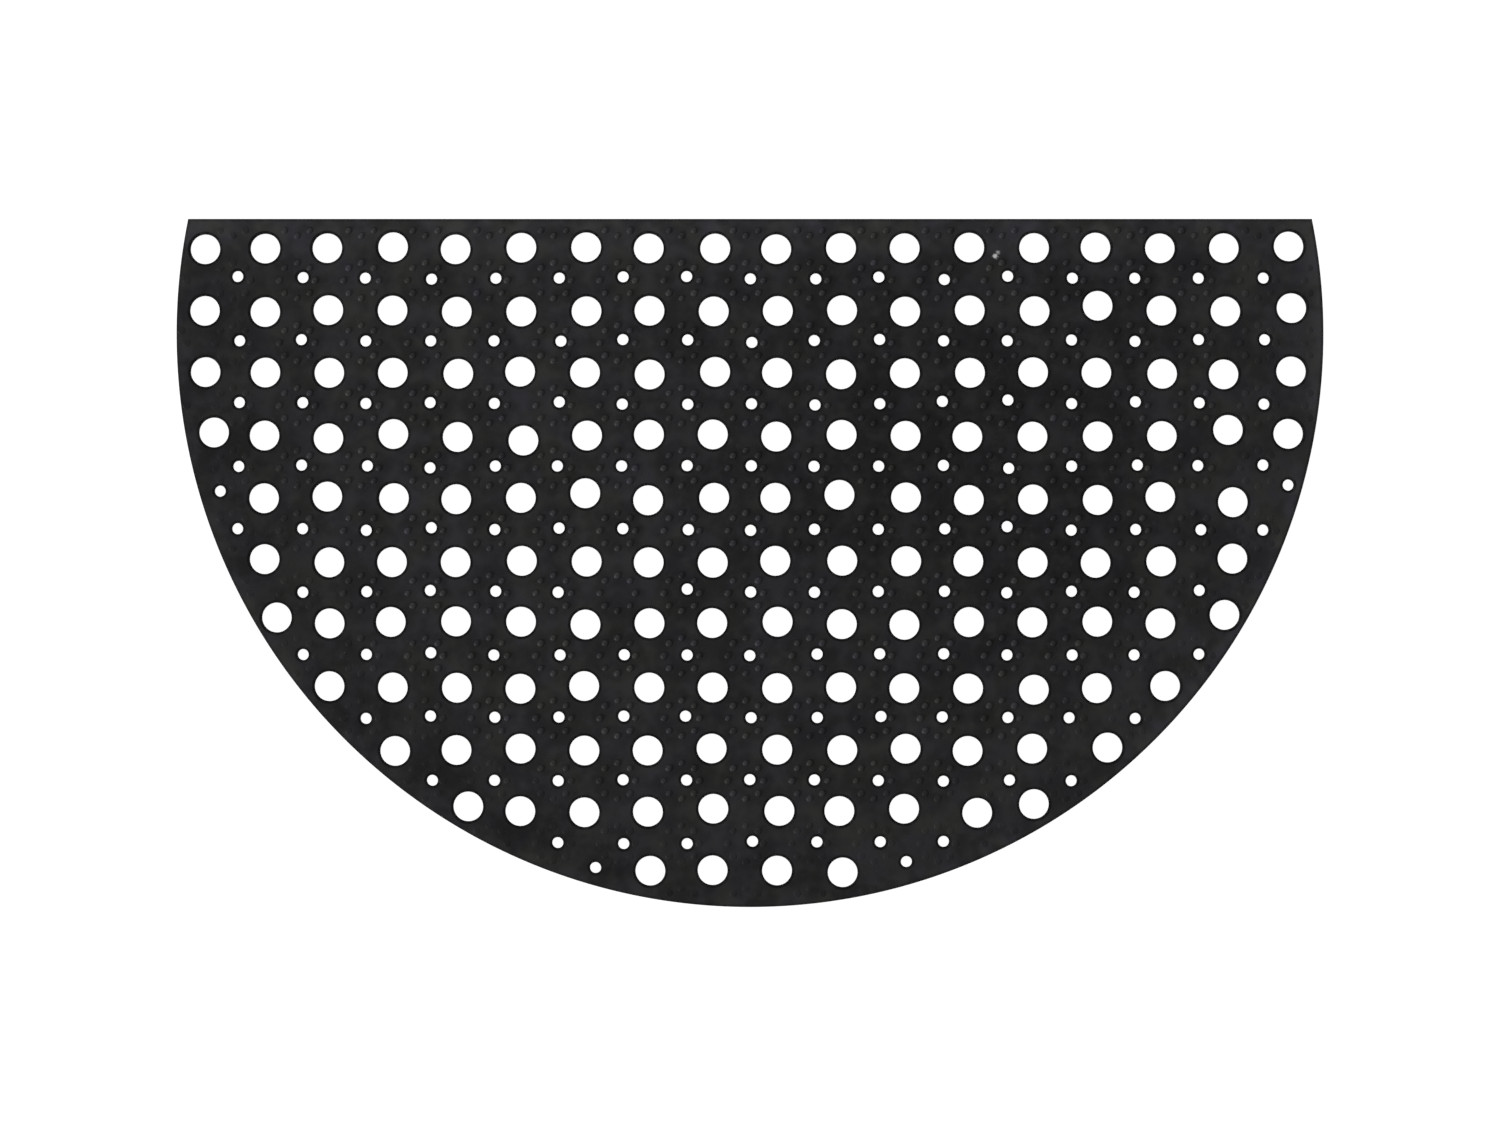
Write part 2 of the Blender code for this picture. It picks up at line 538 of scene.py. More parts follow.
def cut_rings(tree, given, inset):
    """The outline and a ring for every hole, all an inset back from the cut."""
    radius = known(tree, "hole_radius")
    plan = points_where(tree, given["Geometry"], maths(tree, "GREATER_THAN", radius, 0.0))
    back = scaled(tree, known(tree, "outward", "FLOAT_VECTOR"), times(tree, inset, -1.0))
    rings = [moved(tree, plan["Inverted"], back)]
    is_large = maths(tree, "GREATER_THAN", radius, given["Large Hole"])
    is_small = minus(tree, 1.0, is_large)
    for steps, chosen in (("Large Hole Steps", is_large), ("Small Hole Steps", is_small)):
        inward = scaled(tree, put(tree, "GeometryNodeInputPosition")[0], -1.0)
        ring = stored(tree, open_ring(tree, given[steps], 1.0), "outward", inward, "FLOAT_VECTOR")
        ring = stored(tree, ring, "punched", 1.0)
        scale = plus(tree, radius, inset)
        rings.append(realized(tree, copied(tree, plan["Selection"], ring, scale, chosen)))
    return together(tree, *rings)


def flat_face(tree, rings, height):
    """The raised area between the rings. Its points know the outward way and kind of their ring."""
    face = filled(tree, rings)
    nearest = nearest_point(tree, rings)
    for name, kind in (("outward", "FLOAT_VECTOR"), ("punched", "FLOAT")):
        on_ring = at_index(tree, rings, known(tree, name, kind), nearest, kind)
        face = stored(tree, face, name, on_ring, kind)
    return moved(tree, face, vector_of(tree, z=height))


def rim_profile(tree, given):
    """The steps from the flat face down, each as its way out, its way down and its rim value.

    A strip fades into the band beside the cut, which the cut pressed down a little and
    which is painted dark as shade; then come the rounded lip, the wall and a chamfer.
    """
    lip = given["Lip Radius"]
    steps = [(given["Shade Width"], 0.0, BAND_RIM), (given["Band Width"], given["Rim Drop"], BAND_RIM)]
    turns = [math.radians(angle) for angle in LIP_ANGLES]
    for before, after in zip(turns, turns[1:]):
        out = times(tree, lip, math.sin(after) - math.sin(before))
        down = times(tree, lip, math.cos(before) - math.cos(after))
        steps.append((out, down, CUT_RIM))
    wall = given["Thickness"]
    for taken in ("Rim Drop", "Lip Radius", "Foot Chamfer"):
        wall = minus(tree, wall, given[taken])
    chamfer = given["Foot Chamfer"]
    return steps + [(0.0, wall, CUT_RIM), (times(tree, chamfer, -1.0), chamfer, CUT_RIM)]


def sheet_tree():
    """A sheet inside the outline, punched at every hole centre, with a rounded upper rim."""
    tree, given, result = new_tree("punched sheet", "GeometryNodeTree", {
        "Geometry": ["Geometry"],
        "Float": [
            "Thickness", "Shade Width", "Band Width", "Rim Drop", "Lip Radius", "Foot Chamfer", "Large Hole",
        ],
        "Int": ["Large Hole Steps", "Small Hole Steps"],
        "Material": ["Moulded Skin", "Cut Edge", "Underside"],
    }, {"Geometry": ["Geometry"]})
    flat_part = plus(tree, given["Shade Width"], given["Band Width"])
    inset = plus(tree, flat_part, given["Lip Radius"])
    mesh = flat_face(tree, cut_rings(tree, given, inset), given["Thickness"])
    neighbours = put(tree, "GeometryNodeInputMeshEdgeNeighbors")[0]
    edges = put(tree, "FunctionNodeCompare", {"data_type": "INT", "operation": "EQUAL"}, {
        "A": neighbours, "B": 1,
    })[0]
    step_tree = rim_step_tree()
    for outward, down, rim in rim_profile(tree, given):
        step = put(tree, "GeometryNodeGroup", {"node_tree": step_tree}, {
            "Mesh": mesh, "Edges": edges, "Outward": outward, "Down": down, "Rim": rim,
        })
        mesh, edges = step["Mesh"], step["Edges"]

    under = put(tree, "GeometryNodeFlipFaces", None, {"Mesh": filled(tree, mesh, edges)})[0]
    whole = put(tree, "GeometryNodeMergeByDistance", None, {
        "Geometry": together(tree, mesh, under), "Distance": SAME_POINT,
    })[0]

    # The rounding reads as smooth, and the chamfer as an edge.
    angle = put(tree, "GeometryNodeInputMeshEdgeAngle")["Unsigned Angle"]
    whole = smoothed(tree, whole)
    whole = smoothed(tree, whole, "EDGE", maths(tree, "LESS_THAN", angle, SOFTEST_CREASE))
    is_rim = maths(tree, "GREATER_THAN", known(tree, "rim"), CUT_RIM_LIMIT)
    tilt = part(tree, put(tree, "GeometryNodeInputNormal")[0], "Z")
    is_under = maths(tree, "LESS_THAN", tilt, -0.5)
    whole = painted(tree, realized(tree, whole), given["Moulded Skin"])
    whole = painted(tree, whole, given["Cut Edge"], is_rim)
    whole = painted(tree, whole, given["Underside"], is_under)
    tree.links.new(whole, result["Geometry"])
    return tree


# Geometry tree of the studs

def ring_places(tree, given):
    """A point for every stud: a ring of them round each point of an even grid."""
    wide, deep = (
        times(tree, minus(tree, given[count], 1.0), given[pitch])
        for count, pitch in (("Rings Across", "Pitch Across"), ("Rings Deep", "Pitch Deep"))
    )
    grid = put(tree, "GeometryNodeMeshGrid", None, {
        "Size X": wide, "Size Y": deep,
        "Vertices X": given["Rings Across"], "Vertices Y": given["Rings Deep"],
    })

    # A grid is centred, so half its size shifts it to its corner.
    half = vector_of(tree, times(tree, wide, 0.5), times(tree, deep, -0.5))
    centres = moved(tree, grid["Mesh"], vectors(tree, "ADD", given["First Ring"], half))
    ring = open_ring(tree, given["Studs In Ring"], given["Ring Radius"])
    return realized(tree, copied(tree, centres, ring))


def too_near_a_cut(tree, given, here, from_middle):
    """Where a stud has too little room to a hole of either kind or to either edge of the mat."""
    radius = known(tree, "hole_radius")
    is_large = maths(tree, "GREATER_THAN", radius, given["Large Hole"])
    too_near = 0.0
    for chosen in (is_large, minus(tree, 1.0, is_large)):
        kind = points_where(tree, given["Geometry"], chosen)["Selection"]
        nearest = nearest_point(tree, kind)
        from_centre = distance(tree, here, at_index(tree, kind, here, nearest, "FLOAT_VECTOR"))
        room = minus(tree, from_centre, at_index(tree, kind, radius, nearest))
        too_near = maths(tree, "MAXIMUM", too_near, maths(tree, "LESS_THAN", room, given["Clear Of Cuts"]))
    for place, limit in ((from_middle, "Round Radius"), (part(tree, here, "Y"), "Straight Edge")):
        reach = plus(tree, place, given["Clear Of Cuts"])
        too_near = maths(tree, "MAXIMUM", too_near, maths(tree, "GREATER_THAN", reach, given[limit]))
    return too_near


def stud_dome(tree, given):
    """One stud: a cone whose slope is bent into a dome. Its closed foot is sunk in the sheet."""
    cone = put(tree, "GeometryNodeMeshCone", {"fill_type": "NGON"}, {
        "Vertices": STUD_SIDES, "Side Segments": STUD_SLOPE_STEPS,
        "Radius Top": 0.0, "Radius Bottom": 1.0, "Depth": 1.0,
    })
    spot = put(tree, "GeometryNodeInputPosition")[0]
    half_width = times(tree, given["Stud Width"], 0.5)
    to_top = minus(tree, 1.0, part(tree, spot, "Z"))
    share = minus(tree, 1.0, maths(tree, "POWER", to_top, given["Stud Dome"]))
    tall = plus(tree, given["Stud Height"], given["Stud Root"])
    bent = vector_of(
        tree,
        times(tree, part(tree, spot, "X"), half_width),
        times(tree, part(tree, spot, "Y"), half_width),
        minus(tree, times(tree, share, tall), given["Stud Root"]),
    )
    return put(tree, "GeometryNodeSetPosition", None, {
        "Geometry": cone["Mesh"], "Position": bent,
    })[0]


def stud_tree():
    """Rings of domed studs on an even grid, left out where a hole or the mat's edge is too near."""
    tree, given, result = new_tree("stud rings", "GeometryNodeTree", {
        "Geometry": ["Geometry"],
        "Int": ["Rings Across", "Rings Deep", "Studs In Ring", "Stud Seed"],
        "Float": [
            "Pitch Across", "Pitch Deep", "Ring Radius", "Stud Width", "Stud Height", "Stud Root",
            "Stud Dome", "Clear Of Cuts", "Margin Width", "Least Rise", "Round Radius", "Straight Edge",
            "Large Hole",
        ],
        "Vector": ["First Ring", "Round Centre"],
        "Material": ["Stud Rubber"],
    }, {"Geometry": ["Geometry"]})
    here = put(tree, "GeometryNodeInputPosition")[0]
    from_middle = distance(tree, here, given["Round Centre"])
    kept = put(tree, "GeometryNodeDeleteGeometry", {"domain": "POINT"}, {
        "Geometry": ring_places(tree, given), "Selection": too_near_a_cut(tree, given, here, from_middle),
    })

    # Each stud has a size of its own, and towards the round edge the studs rise less and less.
    size = chance(tree, LEAST_STUD, LARGEST_STUD, given["Stud Seed"])
    from_edge = minus(tree, given["Round Radius"], from_middle)
    low_part = times(tree, given["Margin Width"], LOWEST_SHARE)
    rise = spread(tree, from_edge, low_part, given["Margin Width"], given["Least Rise"])
    scale = vector_of(tree, size, size, times(tree, size, rise))
    studs = copied(tree, kept[0], stud_dome(tree, given), scale)
    worn = chance(tree, 0.0, 1.0, plus(tree, given["Stud Seed"], 1.0))
    studs = realized(tree, stored(tree, studs, "stud_wear", worn, domain="INSTANCE"))
    tree.links.new(painted(tree, smoothed(tree, studs), given["Stud Rubber"]), result["Geometry"])
    return tree


# Node helpers for materials

def noise(tree, place, scale, detail=2.0, roughness=0.5):
    return put(tree, "ShaderNodeTexNoise", None, {
        "Vector": place, "Scale": scale, "Detail": detail, "Roughness": roughness,
    })[0]


def carried(tree, name):
    """A value that the mesh carries."""
    return put(tree, "ShaderNodeAttribute", {"attribute_name": name})["Fac"]


def evenly(tree, share, least):
    """Takes a share from 0 to 1 to the range from the least to 1."""
    return put(tree, "ShaderNodeMapRange", None, {"Value": share, "To Min": least})[0]


def tinted(tree, share, first, second):
    """A colour between two, by a share that changes over the surface."""
    return put(tree, "ShaderNodeMix", {"data_type": "RGBA"}, {"Factor": share, 6: first, 7: second})[2]


def multiplied(tree, first, second):
    return put(tree, "ShaderNodeMix", {"data_type": "RGBA", "blend_type": "MULTIPLY"}, {
        "Factor": 1.0, 6: first, 7: second,
    })[2]


def toned(tree, tone, share, full):
    """A colour multiplied by one grey factor, as far as a share goes."""
    return multiplied(tree, tone, tinted(tree, share, WHITE, (full, full, full, 1.0)))


def from_round_edge(tree, given):
    """How far inside the round edge a place is, in plan."""
    flat_place = vectors(tree, "MULTIPLY", given["Vector"], (1.0, 1.0, 0.0))
    return minus(tree, given["Round Radius"], distance(tree, flat_place, given["Round Centre"]))


# Shader groups that the rubber finishes share

def grain_group():
    """The skin that the mould leaves: a fine pebbled height, and patches of tone and of tint."""
    tree, given, result = new_tree("rubber grain", "ShaderNodeTree", {
        "Vector": ["Vector"], "Float": ["Grains Per Metre", "Patches Per Metre"],
    }, {"Float": ["Height", "Patch"], "Color": ["Tint"]})
    place, grains, patches = given["Vector"], given["Grains Per Metre"], given["Patches Per Metre"]
    pebbles = noise(tree, place, grains, 1.0, 0.6)
    swell = noise(tree, place, times(tree, grains, 0.3), 1.0)
    tree.links.new(weighed(tree, spread(tree, pebbles, *PEBBLE_RANGE), swell, 0.5), result["Height"])
    broad = noise(tree, place, patches)
    fine = noise(tree, place, times(tree, patches, 4.0), 1.0, 0.6)
    tree.links.new(spread(tree, weighed(tree, broad, fine, 0.65), *PATCH_RANGE), result["Patch"])
    hue = spread(tree, noise(tree, place, TINTS_PER_METRE), *TINT_RANGE)
    tree.links.new(tinted(tree, hue, WARM_TINT, COOL_TINT), result["Tint"])
    return tree


def tread_group():
    """Pale rubs and dust that feet and years leave, a grey bloom that is partly painted sheen, painted sheen
    along the straight edge, and a paler margin.
    """
    tree, given, result = new_tree("tread wear", "ShaderNodeTree", {
        "Vector": ["Vector", "Trodden Middle", "Dim Middle", "Round Centre"],
        "Float": [
            "Height", "Wear", "Trodden Reach", "Dim Reach", "Straight Edge", "Sheen Strip",
            "Round Radius", "Pale Margin",
        ],
    }, {"Float": ["Rubbed", "Dust", "Bloom And Sheen", "Margin"]})
    place = given["Vector"]
    rubs = spread(tree, noise(tree, place, RUBS_PER_METRE, 3.0, 0.7), *RUB_RANGE)
    tree.links.new(times(tree, rubs, given["Wear"]), result["Rubbed"])

    # Dust is a veil in the low places and single motes, both only in some areas.
    low = spread(tree, minus(tree, 0.8, given["Height"]), *VEIL_RANGE)
    motes = spread(tree, noise(tree, place, MOTES_PER_METRE, 1.0), *MOTE_RANGE)
    where = spread(tree, noise(tree, place, DUSTY_AREAS_PER_METRE), *DUSTY_RANGE)
    veil = times(tree, low, VEIL_STRENGTH)
    dust = times(tree, maths(tree, "MAXIMUM", veil, motes), where)
    tree.links.new(times(tree, dust, given["Wear"]), result["Dust"])

    # The bloom, partly grey bloom and dust and partly painted sheen, lies outside the trodden
    # middle, less so in the dim margin; painted sheen lies along the straight edge.
    ragged = times_plus(tree, noise(tree, place, RAGS_PER_METRE), RAGGEDNESS, -RAGGEDNESS / 2)
    away = ratio(tree, distance(tree, place, given["Trodden Middle"]), given["Trodden Reach"])
    untrodden = spread(tree, plus(tree, away, ragged), *UNTRODDEN_RANGE)
    away = ratio(tree, distance(tree, place, given["Dim Middle"]), given["Dim Reach"])
    clear = spread(tree, times_plus(tree, ragged, DIM_RAGGED_SHARE, away), *CLEAR_RANGE)
    untrodden = times(tree, untrodden, times_plus(tree, clear, 1 - DIM_BLOOM_AND_SHEEN, DIM_BLOOM_AND_SHEEN))
    from_straight = minus(tree, given["Straight Edge"], part(tree, place, "Y"))
    away = ratio(tree, from_straight, given["Sheen Strip"])
    edge_sheen = spread(tree, plus(tree, away, ragged), *EDGE_SHEEN_RANGE)
    # Painted sheen along the straight edge, joined to the bloom, which is partly painted sheen.
    bloom_and_sheen = maths(tree, "MAXIMUM", untrodden, times(tree, edge_sheen, STRAIGHT_EDGE_SHEEN))
    tree.links.new(bloom_and_sheen, result["Bloom And Sheen"])

    # The tone is paler along the outline, twice as far in at the straight edge.
    half_way = times(tree, from_straight, 0.5)
    nearest = maths(tree, "MINIMUM", from_round_edge(tree, given), half_way)
    away = ratio(tree, nearest, given["Pale Margin"])
    margin = spread(tree, times_plus(tree, ragged, PALE_MARGIN_RAGGED_SHARE, away), *MARGIN_RANGE)
    tree.links.new(margin, result["Margin"])
    return tree


def foot_shade_group():
    """Painted shade: the ground round the studs' feet is toned deeper where shade falls, on the studs' own
    grid of rings.
    """
    tree, given, result = new_tree("stud foot shade", "ShaderNodeTree", {
        "Vector": ["Vector", "First Ring", "Round Centre"],
        "Float": [
            "Pitch Across", "Pitch Deep", "Ring Radius", "Studs In Ring", "Grime Near",
            "Grime Far", "Round Radius", "Margin Width",
        ],
    }, {"Float": ["Grime"]})

    # The place from the nearest ring's centre, and the nearest stud on that ring.
    from_first = vectors(tree, "SUBTRACT", given["Vector"], given["First Ring"])
    sides = []
    for axis, pitch in (("X", "Pitch Across"), ("Y", "Pitch Deep")):
        half = times(tree, given[pitch], 0.5)
        other_half = times(tree, given[pitch], -0.5)
        sides.append(maths(tree, "WRAP", part(tree, from_first, axis), half, other_half))
    across, deep = sides
    turn = ratio(tree, math.tau, given["Studs In Ring"])
    turns = ratio(tree, maths(tree, "ARCTAN2", deep, across), turn)
    angle = times(tree, maths(tree, "ROUND", turns), turn)
    stud = vector_of(
        tree,
        times(tree, maths(tree, "COSINE", angle), given["Ring Radius"]),
        times(tree, maths(tree, "SINE", angle), given["Ring Radius"]),
    )
    away = distance(tree, vector_of(tree, across, deep), stud)
    foot = spread(tree, away, given["Grime Far"], given["Grime Near"])

    # It goes with the studs' height, which falls towards the round edge.
    low_part = times(tree, given["Margin Width"], LOWEST_SHARE)
    tall = spread(tree, from_round_edge(tree, given), low_part, given["Margin Width"])
    tree.links.new(times(tree, foot, tall), result["Grime"])
    return tree


def cut_shade_group():
    """Painted shade beside a cut: deep and uneven at a punched hole, and faint where the knife cut the
    outline.
    """
    tree, given, result = new_tree("cut shade", "ShaderNodeTree", {
        "Vector": ["Vector"], "Float": ["Knife Share", "Least Rim Shade"],
    }, {"Float": ["Shade"]})
    weight = evenly(tree, carried(tree, "punched"), given["Knife Share"])
    # This noise makes the painted shade uneven along the cut.
    pressed = spread(tree, noise(tree, given["Vector"], RIM_SHADE_PATCHES_PER_METRE), *RIM_SHADE_RANGE)
    pressed = evenly(tree, pressed, given["Least Rim Shade"])
    shade = times(tree, carried(tree, "rim"), weight)
    tree.links.new(times(tree, shade, pressed), result["Shade"])
    return tree


def fleck_group():
    """One small pale fleck at a named place on the face, of two ragged lobes that touch."""
    tree, given, result = new_tree("pale fleck", "ShaderNodeTree", {
        "Vector": ["Vector", "Fleck Place", "Fleck Side Lobe"],
        "Float": ["Fleck Reach", "Fleck Side Reach", "Fleck Side Share"],
    }, {"Float": ["Fleck"]})
    rags = noise(tree, given["Vector"], FLECK_RAGS_PER_METRE)
    ragged = times_plus(tree, rags, FLECK_RAGGEDNESS, FLECK_LEAST)
    side = vectors(tree, "ADD", given["Fleck Place"], given["Fleck Side Lobe"])
    lobes = []
    for place, reach, full in (
        (given["Fleck Place"], given["Fleck Reach"], 1.0),
        (side, given["Fleck Side Reach"], given["Fleck Side Share"]),
    ):
        edge = times(tree, reach, ragged)
        away = ratio(tree, distance(tree, given["Vector"], place), edge)
        lobes.append(times(tree, spread(tree, away, *FLECK_RANGE), full))
    tree.links.new(maths(tree, "MAXIMUM", *lobes), result["Fleck"])
    return tree


# Rubber materials

def new_material(name, specular):
    """A material's tree, the inputs of its Principled surface, and its Object coordinates."""
    material = bpy.data.materials.new(name)
    material.use_nodes = True
    tree = material.node_tree
    surface = tree.nodes["Principled BSDF"].inputs
    surface["Specular IOR Level"].default_value = specular
    return tree, surface, tree.nodes.new("ShaderNodeTexCoord").outputs["Object"]


def use_group(tree, group, values):
    """A group whose every input takes the value of its own name."""
    inputs = {item.name: values[item.name] for item in group.interface.items_tree if item.in_out == "INPUT"}
    return put(tree, "ShaderNodeGroup", {"node_tree": group}, inputs)


def bump(tree, surface, height, relief):
    normal = put(tree, "ShaderNodeBump", None, {
        "Height": height, "Strength": relief.strength, "Distance": relief.depth,
    })[0]
    tree.links.new(normal, surface["Normal"])


def rubber(colour, share):
    """A rubber tone paler or deeper than the mat's own colour."""
    return tuple(min(1.0, c * share) for c in colour) + (1.0,)


def patchy(tree, share, colour, tone):
    """A rubber tone that changes between its deepest and its palest over the patches."""
    return tinted(tree, share, rubber(colour, tone.deep), rubber(colour, tone.pale))


def moulded_skin(finish, groups, values):
    """The trodden face of the sheet: satin black, patchy, with a fine pebbled grain."""
    tree, surface, place = new_material("moulded_rubber_skin", finish.sheen)
    values = {**values, "Vector": place}
    grain = use_group(tree, groups["grain"], values)
    wear = use_group(tree, groups["tread"], {**values, "Height": grain["Height"]})
    foot_shade = use_group(tree, groups["foot_shade"], values)["Grime"]
    shade = use_group(tree, groups["cut"], values)["Shade"]
    fleck = use_group(tree, groups["fleck"], values)["Fleck"]
    clean = patchy(tree, grain["Patch"], finish.colour, SKIN_CLEAN)
    bloom_and_sheen_tone = patchy(tree, grain["Patch"], finish.colour, SKIN_BLOOM_AND_SHEEN)
    # The bloom is partly grey bloom and dust, partly painted sheen.
    tone = multiplied(tree, tinted(tree, wear["Bloom And Sheen"], clean, bloom_and_sheen_tone), grain["Tint"])
    tone = toned(tree, tone, wear["Margin"], MARGIN_FACTOR)
    # Painted shade round the studs' feet.
    tone = toned(tree, tone, foot_shade, FOOT_SHADE_FACTOR)
    tone = tinted(tree, wear["Rubbed"], tone, rubber(finish.colour, SKIN_RUBBED))
    tone = tinted(tree, wear["Dust"], tone, rubber(finish.colour, SKIN_DUST))
    # Painted shade: the band beside every cut is toned near black.
    tone = tinted(tree, shade, tone, rubber(finish.colour, SKIN_RIM_SHADE))
    tree.links.new(tinted(tree, fleck, tone, FLECK_COLOUR), surface["Base Color"])
    dull = times_plus(tree, grain["Patch"], SKIN_PATCH_DULLER, finish.roughness + SKIN_DULLER)
    dull = times_plus(tree, wear["Dust"], DUST_DULLER, dull)
    tree.links.new(times_plus(tree, shade, SHADE_BAND_DULLER, dull), surface["Roughness"])
    bump(tree, surface, grain["Height"], SKIN_RELIEF)


def stud_rubber(finish, groups, values):
    """The studs: the same skin with a finer grain, each crown paler by its own amount, partly as wear and
    partly as painted highlight.
    """
    tree, surface, place = new_material("stud_rubber", finish.sheen)
    values = {**values, "Vector": place, "Grains Per Metre": finish.grain * STUD_GRAIN}
    grain = use_group(tree, groups["grain"], values)
    wear = use_group(tree, groups["tread"], {**values, "Height": grain["Height"]})
    # Wear and painted highlight: the crown is toned paler by its height.
    crown = spread(tree, part(tree, place, "Z"), TOP + CROWN_PALE_FROM, TOP + CROWN_PALE_FULL)
    own = weighed(tree, carried(tree, "stud_wear"), grain["Patch"], OWN_RUB_SHARE)
    rubbed = times(tree, crown, own)
    clean = patchy(tree, grain["Patch"], finish.colour, STUD_CLEAN)
    bloom_and_sheen_tone = patchy(tree, grain["Patch"], finish.colour, STUD_BLOOM_AND_SHEEN)
    # The bloom is partly grey bloom and dust, partly painted sheen.
    tone = tinted(tree, wear["Bloom And Sheen"], clean, bloom_and_sheen_tone)
    tone = multiplied(tree, tinted(tree, rubbed, tone, rubber(finish.colour, STUD_CROWN_WORN_AND_LIT)), grain["Tint"])
    tone = tinted(tree, wear["Dust"], tone, rubber(finish.colour, PALE_DUST))
    tree.links.new(tone, surface["Base Color"])
    dull = times_plus(tree, rubbed, RUBBED_DULLER, finish.roughness)
    tree.links.new(dull, surface["Roughness"])
    bump(tree, surface, grain["Height"], STUD_RELIEF)


def cut_edge(finish, groups, values):
    """The rims and walls that the punch and the knife left: dull, faintly streaked, and painted deeper black
    as shade.
    """
    tree, surface, place = new_material("cut_rubber_edge", finish.sheen / 2)
    values = {**values, "Vector": place, "Grains Per Metre": finish.grain * CUT_GRAIN}
    grain = use_group(tree, groups["grain"], values)
    upright = put(tree, "ShaderNodeMapping", None, {"Vector": place, "Scale": STREAK_SCALE})
    streaks = noise(tree, upright[0], STREAKS_PER_METRE, 3.0, 0.6)
    knife_cut = patchy(tree, streaks, finish.colour, KNIFE_CUT)
    # Painted shade on the lips and walls of punched holes.
    punched = patchy(tree, streaks, finish.colour, PUNCHED_RIM_SHADE)
    shade = use_group(tree, groups["cut"], values)["Shade"]
    tree.links.new(tinted(tree, shade, knife_cut, punched), surface["Base Color"])
    tree.links.new(times_plus(tree, streaks, STREAK_DULLER, CUT_DULLNESS), surface["Roughness"])
    height = times_plus(tree, streaks, STREAK_SHARE, times(tree, grain["Height"], CUT_GRAIN_SHARE))
    bump(tree, surface, height, CUT_RELIEF)


def underside(finish, groups, values):
    """The face on the floor: plain, dull rubber with the coarser print of the press bed."""
    tree, surface, place = new_material("underside_rubber", finish.sheen)
    values = {
        **values, "Vector": place, "Grains Per Metre": finish.grain * UNDERSIDE_GRAIN,
        "Patches Per Metre": UNDERSIDE_PATCHES_PER_METRE,
    }
    grain = use_group(tree, groups["grain"], values)
    wear = use_group(tree, groups["tread"], {**values, "Height": grain["Height"]})
    tone = patchy(tree, grain["Patch"], finish.colour, UNDERSIDE_PLAIN)
    tone = tinted(tree, wear["Dust"], tone, rubber(finish.colour, PALE_DUST))
    tree.links.new(tone, surface["Base Color"])
    dull = times_plus(tree, grain["Patch"], UNDERSIDE_PATCH_DULLER, finish.roughness + UNDERSIDE_DULLER)
    tree.links.new(dull, surface["Roughness"])
    bump(tree, surface, grain["Height"], UNDERSIDE_RELIEF)


def rubber_finishes(scene):
    """Every rubber material under its socket's name, made once and shared by the pieces."""
    materials = bpy.data.materials
    if "moulded_rubber_skin" not in materials:
        groups = {
            "grain": grain_group(), "tread": tread_group(), "cut": cut_shade_group(),
            "fleck": fleck_group(), "foot_shade": foot_shade_group(),
        }
        values = {**by_name(scene.doormat_finish), **by_name(scene.doormat_studs), **MAT_VALUES}
        for make in (moulded_skin, stud_rubber, cut_edge, underside):
            make(scene.doormat_finish, groups, values)
    return {
        "Moulded Skin": materials["moulded_rubber_skin"], "Stud Rubber": materials["stud_rubber"],
        "Cut Edge": materials["cut_rubber_edge"], "Underside": materials["underside_rubber"],
    }


# Settings

def length_setting(name, default, description):
    return bpy.props.FloatProperty(name=name, description=description, default=default, unit="LENGTH")


def place_setting(name, default, description):
    return bpy.props.FloatVectorProperty(
        name=name, description=description, default=default, size=len(default), subtype="XYZ", unit="LENGTH"
    )


def count_setting(name, default, description):
    return bpy.props.IntProperty(name=name, description=description, default=default)


def share_setting(name, default, description):
    return bpy.props.FloatProperty(name=name, description=description, default=default, subtype="FACTOR")


def plain_setting(name, default, description, unit="NONE"):
    return bpy.props.FloatProperty(name=name, description=description, default=default, unit=unit)


def by_name(settings):
    """Every setting's value under its name. A socket that takes it has that name too."""
    kinds = settings.bl_rna.properties
    return {kinds[key].name: getattr(settings, key) for key in settings.__annotations__}


class DoormatSheet(bpy.types.PropertyGroup):
    """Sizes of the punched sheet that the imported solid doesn't hold."""
    shade_width: length_setting("Shade Width", 0.0006, "Width of the fading strip round every cut")
    band_width: length_setting("Band Width", 0.0011, "Width of the dark band round every cut")
    rim_drop: length_setting("Rim Drop", 0.00012, "How far a cut pressed its rim down")
    lip_radius: length_setting("Lip Radius", 0.0003, "Rounding of the upper rim of every cut")
    foot_chamfer: length_setting("Foot Chamfer", 0.0002, "Chamfer at the foot of every cut")
    large_steps: count_setting("Large Hole Steps", 32, "Sides of a large hole's ring")
    small_steps: count_setting("Small Hole Steps", 20, "Sides of a small hole's ring")
    round_steps: count_setting("Round Edge Steps", 240, "Sides of the mat's round edge")
    low_row_level: length_setting("Low Row Level", -0.1822, "Place of the lowest row of small holes along Y")
    low_row_left: length_setting("Low Row Left", -0.1250, "Place of that row's first hole along X")
    low_row_pitch: length_setting("Low Row Pitch", 0.0420, "Spacing of the lowest row")
    low_row_count: count_setting("Low Row Count", 7, "Holes on the columns of the lowest row")
    low_left_hole: place_setting(
        "Low Left Hole", (-0.1010, -0.1992), "Hole below the lowest row, on the left"
    )
    low_right_hole: place_setting(
        "Low Right Hole", (0.1023, -0.1953), "Hole below the lowest row, on the right"
    )
    scatter: length_setting("Punch Scatter", 0.0006, "How far a hand-held punch strays")
    seed: count_setting("Punch Seed", 5, "Seed of the scatter")


